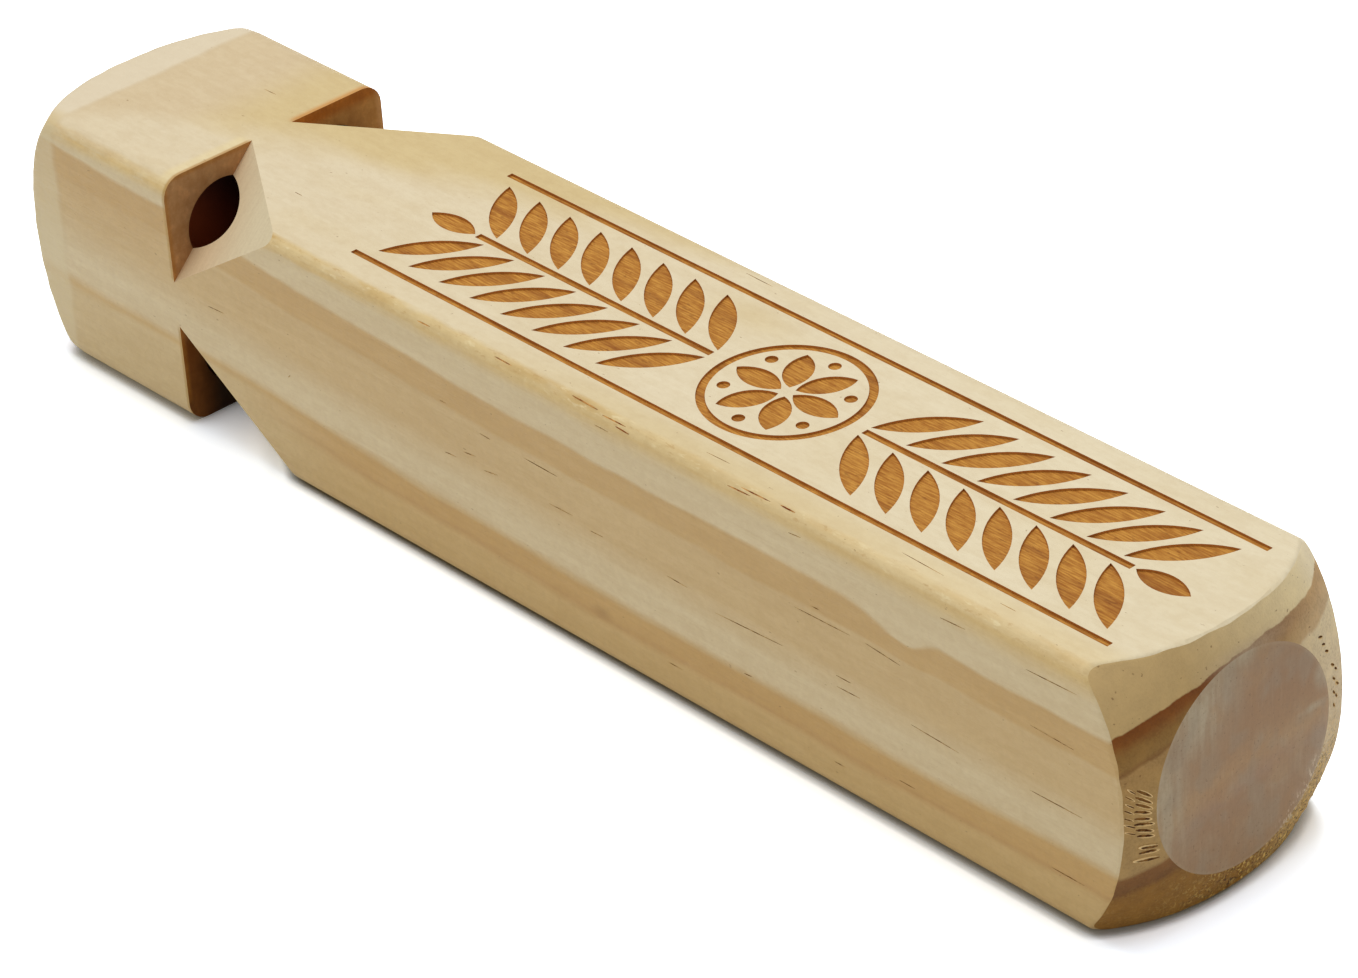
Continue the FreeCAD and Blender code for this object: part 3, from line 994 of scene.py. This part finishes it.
def end_groove(radius, angle, twist, length, size):
    """Nick on the closed dome that points at the axis but for its twist."""
    nudge = 0.01
    slope = float(fall(radius + nudge) - fall(radius - nudge)) / (2 * nudge)
    outward = Vector((0, -cos(angle), sin(angle)))
    along = (outward - Vector((slope, 0, 0))).normalized()
    across = Vector((1, 0, 0)).cross(outward).normalized()
    up = along.cross(across).normalized()
    along = (along + across * twist).normalized()
    centre = Vector((closed_x - float(fall(radius)), 0, half_width)) + outward * radius
    return groove(centre, along, up, length, nick_width * size, nick_depth * size, nick_steps)


def nick_places():
    """Radius, angle, twist, length and size of each nick, on both sides of the disc."""
    dice = random.Random(12)
    places = []
    for number in range(front_nicks):
        angle = radians(front_first_degrees - front_pitch_degrees * number + dice.uniform(-0.22, 0.22))
        twist = (-0.33 if number in steep_nicks else -0.52) + dice.uniform(-0.04, 0.04)
        if number in long_nicks:
            places.append((15.75, angle, twist, 3.4, 1))
            continue
        places.append((15.1 + dice.uniform(-0.06, 0.08), angle, twist, dice.uniform(2.4, 2.8), 1))
        if number <= last_doubled:
            places.append((16.7, angle + 0.026, -0.6, dice.uniform(1.3, 1.6), 0.52))
    for y, z in far_nicks:
        up = z - half_width
        twist = -1.4 + dice.uniform(-0.15, 0.15)
        places.append((hypot(y, up), atan2(up, -y), twist, dice.uniform(0.9, 1.2), 0.8))
    return places


# Resin canals: X and Z of their two ends on the front, and X and Y on top
canal_width = 0.15
canal_depth = 0.06
edge_canal_width = 0.17
top_canal_width = 0.12
top_canal_depth = 0.04
front_canals = (
    (0.2, 22.9, 6.4, 22.8), (4.2, 18.3, 8.6, 18.4), (11.4, 17.6, 13.8, 17.7), (24.6, 17.2, 28.2, 17.1),
    (32.4, 15.7, 44.2, 16.3), (52.5, 16.3, 55, 16.3), (52.5, 14.8, 56.4, 14.9), (64.2, 15.2, 72, 14.9),
    (82.4, 15.2, 90.6, 15.3), (46, 22.6, 55.4, 22.8), (57.4, 22.9, 63.2, 22.4), (49, 24, 50.4, 24),
    (82.8, 23.9, 89.6, 23.7), (45.9, 32.3, 48, 32.5), (69.6, 31.7, 73.6, 31.9), (82.4, 30.9, 90.2, 31.1),
    (13.7, 33, 16.2, 33), (85.3, 6.4, 90.7, 6.4), (23.6, 4.9, 26.4, 4.9), (51.5, 4.1, 53.4, 4.1),
    (62, 6.6, 64.6, 6.6), (-11, 19, -8.6, 19.3), (-7.4, 17.9, -4.8, 18.3), (-14.6, 17.5, -12.4, 17.7),
    (-7.6, 23, -5.6, 22.9), (-14.6, 24.7, -13.4, 24.7), (-59.8, 19.9, -56.4, 20.1),
    (-44.6, 15.7, -44, 16.2), (37, 9.4, 38.4, 9.5))
edge_canals = (
    (9.2, 34.72, 13.8, 34.62), (14.6, 34.45, 18.8, 34.5), (17.2, 34.1, 19.6, 34), (35.8, 34.1, 39.8, 34.25),
    (37.6, 34.5, 42.8, 34.6), (44, 34.7, 46.4, 34.7), (-4.4, 34.6, -1, 34.55),
    (-18, 34.2, -15.4, 34.25))
top_canals = (
    (30, -15, 34, -14.9), (61, -14.7, 68, -14.9), (76, -14.6, 78.5, -14.6),
    (-76, 6.4, -73.5, 6.5), (-52, -8, -50.5, -8), (4, 15.4, 9, 15.3))


def on_section(y_sign, z):
    """Y, and the way out of the wood, on one upright side at this height."""
    inset = half_width - body_edge_radius
    past = max(0, abs(z - half_width) - inset)
    z_sign = 1 if z > half_width else -1
    lean = asin(min(1, past / body_edge_radius))
    out = Vector((0, y_sign * cos(lean), z_sign * sin(lean)))
    return y_sign * (inset + body_edge_radius * cos(lean)), out


def side_canals(places, y_sign, width):
    """Thin canals on an upright side."""
    parts = []
    for x0, z0, x1, z1 in places:
        y, out = on_section(y_sign, (z0 + z1) / 2)
        centre = Vector(((x0 + x1) / 2, y, (z0 + z1) / 2))
        rise = Vector((0, out.z, -out.y)) * (z1 - z0) * (-y_sign)
        along = (Vector((x1 - x0, 0, 0)) + rise).normalized()
        parts.append(groove(centre, along, out, x1 - x0, width, canal_depth, canal_steps))
    return parts


def flat_canals(places, z, z_sign, width, depth):
    """Thin canals on the top face or the underside."""
    parts = []
    for x0, y0, x1, y1 in places:
        centre = Vector(((x0 + x1) / 2, (y0 + y1) / 2, z))
        along = Vector((x1 - x0, y1 - y0, 0)).normalized()
        parts.append(groove(centre, along, Vector((0, 0, z_sign)), x1 - x0, width, depth, canal_steps))
    return parts


def scattered(dice, count, first_x, last_x, low, high):
    """Ends of canals thrown at random on one face, none over another."""
    clear_across = 0.9
    clear_along = 0.5
    places = []
    while len(places) < count:
        length = dice.choice((1.6, 2.4, 3.5, 5, 8, 11)) * dice.uniform(0.8, 1.2)
        x = dice.uniform(first_x, last_x - length)
        across = dice.uniform(low, high)
        slant = length * dice.uniform(-0.015, 0.03)
        if all(abs(across - other[1]) > clear_across or x > other[2] + clear_along
               or x + length < other[0] - clear_along for other in places):
            places.append((x, across, x + length, across + slant))
    return places


def resin_canals():
    """Canals on all four long faces: drawn ones on the front and top, scattered ones elsewhere."""
    dice = random.Random(21)
    far_side = scattered(dice, 26, -38, 88, 4.5, 30.5) + scattered(dice, 3, -87, -69, 12, 23)
    underside = scattered(dice, 24, -38, 88, -13, 13) + scattered(dice, 2, -87, -69, -5, 5)
    parts = side_canals(front_canals, -1, canal_width)
    parts += side_canals(far_side, 1, canal_width)
    parts += flat_canals(underside, 0, -1, canal_width, canal_depth)
    parts += flat_canals(top_canals, block_top, 1, top_canal_width, top_canal_depth)
    return joined("resin_canals", parts)


def whistle():
    """The drilled, notched and engraved block."""
    block, kinds = block_mesh()
    for material in (long_grain(), end_grain(), sanded_disc()):
        block.data.materials.append(material)
    block.data.polygons.foreach_set("material_index", kinds)
    resin = torn("pine_resin", (124, 80, 34), (204, 166, 110))
    red_resin = torn("pine_red_resin", (128, 56, 12), (222, 164, 92))
    carve(block, joined("notch_cutters", [notch_cutter(signs) for signs in pipe_lengths]), notch_cut())
    carve(block, joined("bore_cutters", [bore_cutter(signs) for signs in pipe_lengths]), bored())
    carve(block, engraving_cutters(), burnt())
    carve(block, joined("torn_grain", [end_groove(*place) for place in nick_places()]), nicked())
    carve(block, resin_canals(), resin)
    carve(block, joined("edge_canals", side_canals(edge_canals, -1, edge_canal_width)), red_resin)
    block.data.shade_smooth()
    block.data.set_sharp_from_angle(angle=crease_angle)
    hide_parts("whistle_body")
    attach(block, "root")


def plugs():
    """The four fipple plugs keep their own solids."""
    material = dowel()
    for name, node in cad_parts.items():
        if name.startswith("fipple_plug"):
            node.data.materials.clear()
            node.data.materials.append(material)


def openness(s, distance):
    """How open the table is to the sky within this distance: 1 in the open, less beside the block."""
    return s.add("AmbientOcclusion", {"Distance": distance * MM}, samples=4).outputs["AO"]


def table_top():
    """Pale table that shows white to the camera and keeps the whistle's shadow, with shade painted beside the
    block from occlusion.
    """
    half_size = 3000
    table_grey = (0.72, 0.71, 0.69)
    white = (2.14, 2.29, 2.46)
    s = Shading("table_paper")
    rays = s.add("LightPath", {}).outputs
    seen = s.highest(rays["Is Camera Ray"], rays["Is Glossy Ray"], rays["Is Transmission Ray"])
    past_end = s.span(s.x, 93, 99)
    before_end = s.minus(1, past_end)
    by_closed_end = s.times(s.span(s.x, -40, 80, -0.02, 0.08), before_end)
    # Painted contact shade: the paper darkens where little of the sky is open beside and under the block.
    contact = s.minus(openness(s, 1.6), by_closed_end)
    painted_contact_shade = s.blend(s.span(s.x, wall_x + 2, wall_x - 2), (0.15, 0.125, 0.07), (0.34, 0.29, 0.19))
    far_corner = s.times(s.span(s.y, -4, 9), s.span(s.x, 84, 90))
    painted_contact_shade = s.blend(far_corner, painted_contact_shade, (0.7, 0.69, 0.64))
    paper = s.blend(s.span(contact, 0.33, 0.97), painted_contact_shade, white)
    # Painted light: the paper past the closed end is lightened, softening the shadow there.
    paper = s.blend(past_end, paper, s.tinted(paper, 1.08, 1.09, 1.11))
    # Painted shadow: a soft grey band beside the mouth block and the body.
    by_mouth = s.span(s.x, -42, -56, 0, 0.36)
    by_body = s.span(s.x, -20, 80, 0.04, 0.3)
    soft = s.times(s.span(openness(s, 3.5), 0.5, 0.97, 1, 0, smooth=False), s.plus(by_mouth, by_body))
    paper = s.blend(s.times(soft, before_end), paper, (0.9, 0.95, 0.98))
    s.finish(s.blend(seen, table_grey, paper), 0.9, None, 0)
    corners = [(-half_size, -half_size, 0), (half_size, -half_size, 0), (half_size, half_size, 0),
               (-half_size, half_size, 0)]
    table = mesh_object("table", corners, [(0, 1, 2, 3)])
    table.data.materials.append(s.material)


def soft_box(name, place, target, size, power):
    """Area lamp that faces a target; place, target and size in millimetres, power in watts."""
    light = bpy.data.lights.new(name, "AREA")
    light.shape = "RECTANGLE"
    light.size = size[0] * MM
    light.size_y = size[1] * MM
    light.energy = power
    lamp = in_scene(name, light)
    lamp.location = Vector(place) * MM
    aim = Vector(target) - Vector(place)
    lamp.rotation_euler = aim.to_track_quat("-Z", "Y").to_euler()


def studio():
    """Even surround that shows white to the camera, and two large soft lamps."""
    surround_strength = 0.482
    white = (1, 1, 1, 1)
    world = bpy.data.worlds.new("studio")
    bpy.context.scene.world = world
    world.use_nodes = True
    nodes = Nodes(world.node_tree)
    surround = nodes.tree.nodes["Background"]
    surround.inputs["Strength"].default_value = surround_strength
    surround.inputs["Color"].default_value = white
    shown = nodes.add("Background", {"Strength": 1, "Color": white})
    rays = nodes.add("LightPath", {}).outputs
    seen = nodes.highest(rays["Is Camera Ray"], rays["Is Transmission Ray"])
    choose = nodes.add("MixShader", {0: seen, 1: surround.outputs[0], 2: shown.outputs[0]})
    nodes.feed(nodes.tree.nodes["World Output"].inputs[0], choose.outputs[0])
    soft_box("overhead", (-200, 180, 850), (0, 0, 0), (600, 600), 3.6)
    soft_box("fill", (-50, -1000, 380), (0, 0, 20), (500, 300), 1.05)


def camera():
    """Camera at the photograph's place and angle, for a 1358 x 978 frame."""
    place = Vector((425.35, -354.88, 358.11))
    turn_degrees = (57.776, 3.412, 47.526)
    lens = bpy.data.cameras.new("camera")
    lens.sensor_width = 36.0
    lens.sensor_fit = "HORIZONTAL"
    lens.lens = 144.85
    lens.clip_start = 0.01
    lens.clip_end = 20
    eye = in_scene("camera", lens)
    eye.location = place * MM
    eye.rotation_euler = Euler([radians(degrees) for degrees in turn_degrees], "XYZ")
    bpy.context.scene.camera = eye


whistle()
plugs()
table_top()
studio()
camera()
bpy.context.scene.view_settings.view_transform = "Standard"

bpy.context.view_layer.update()
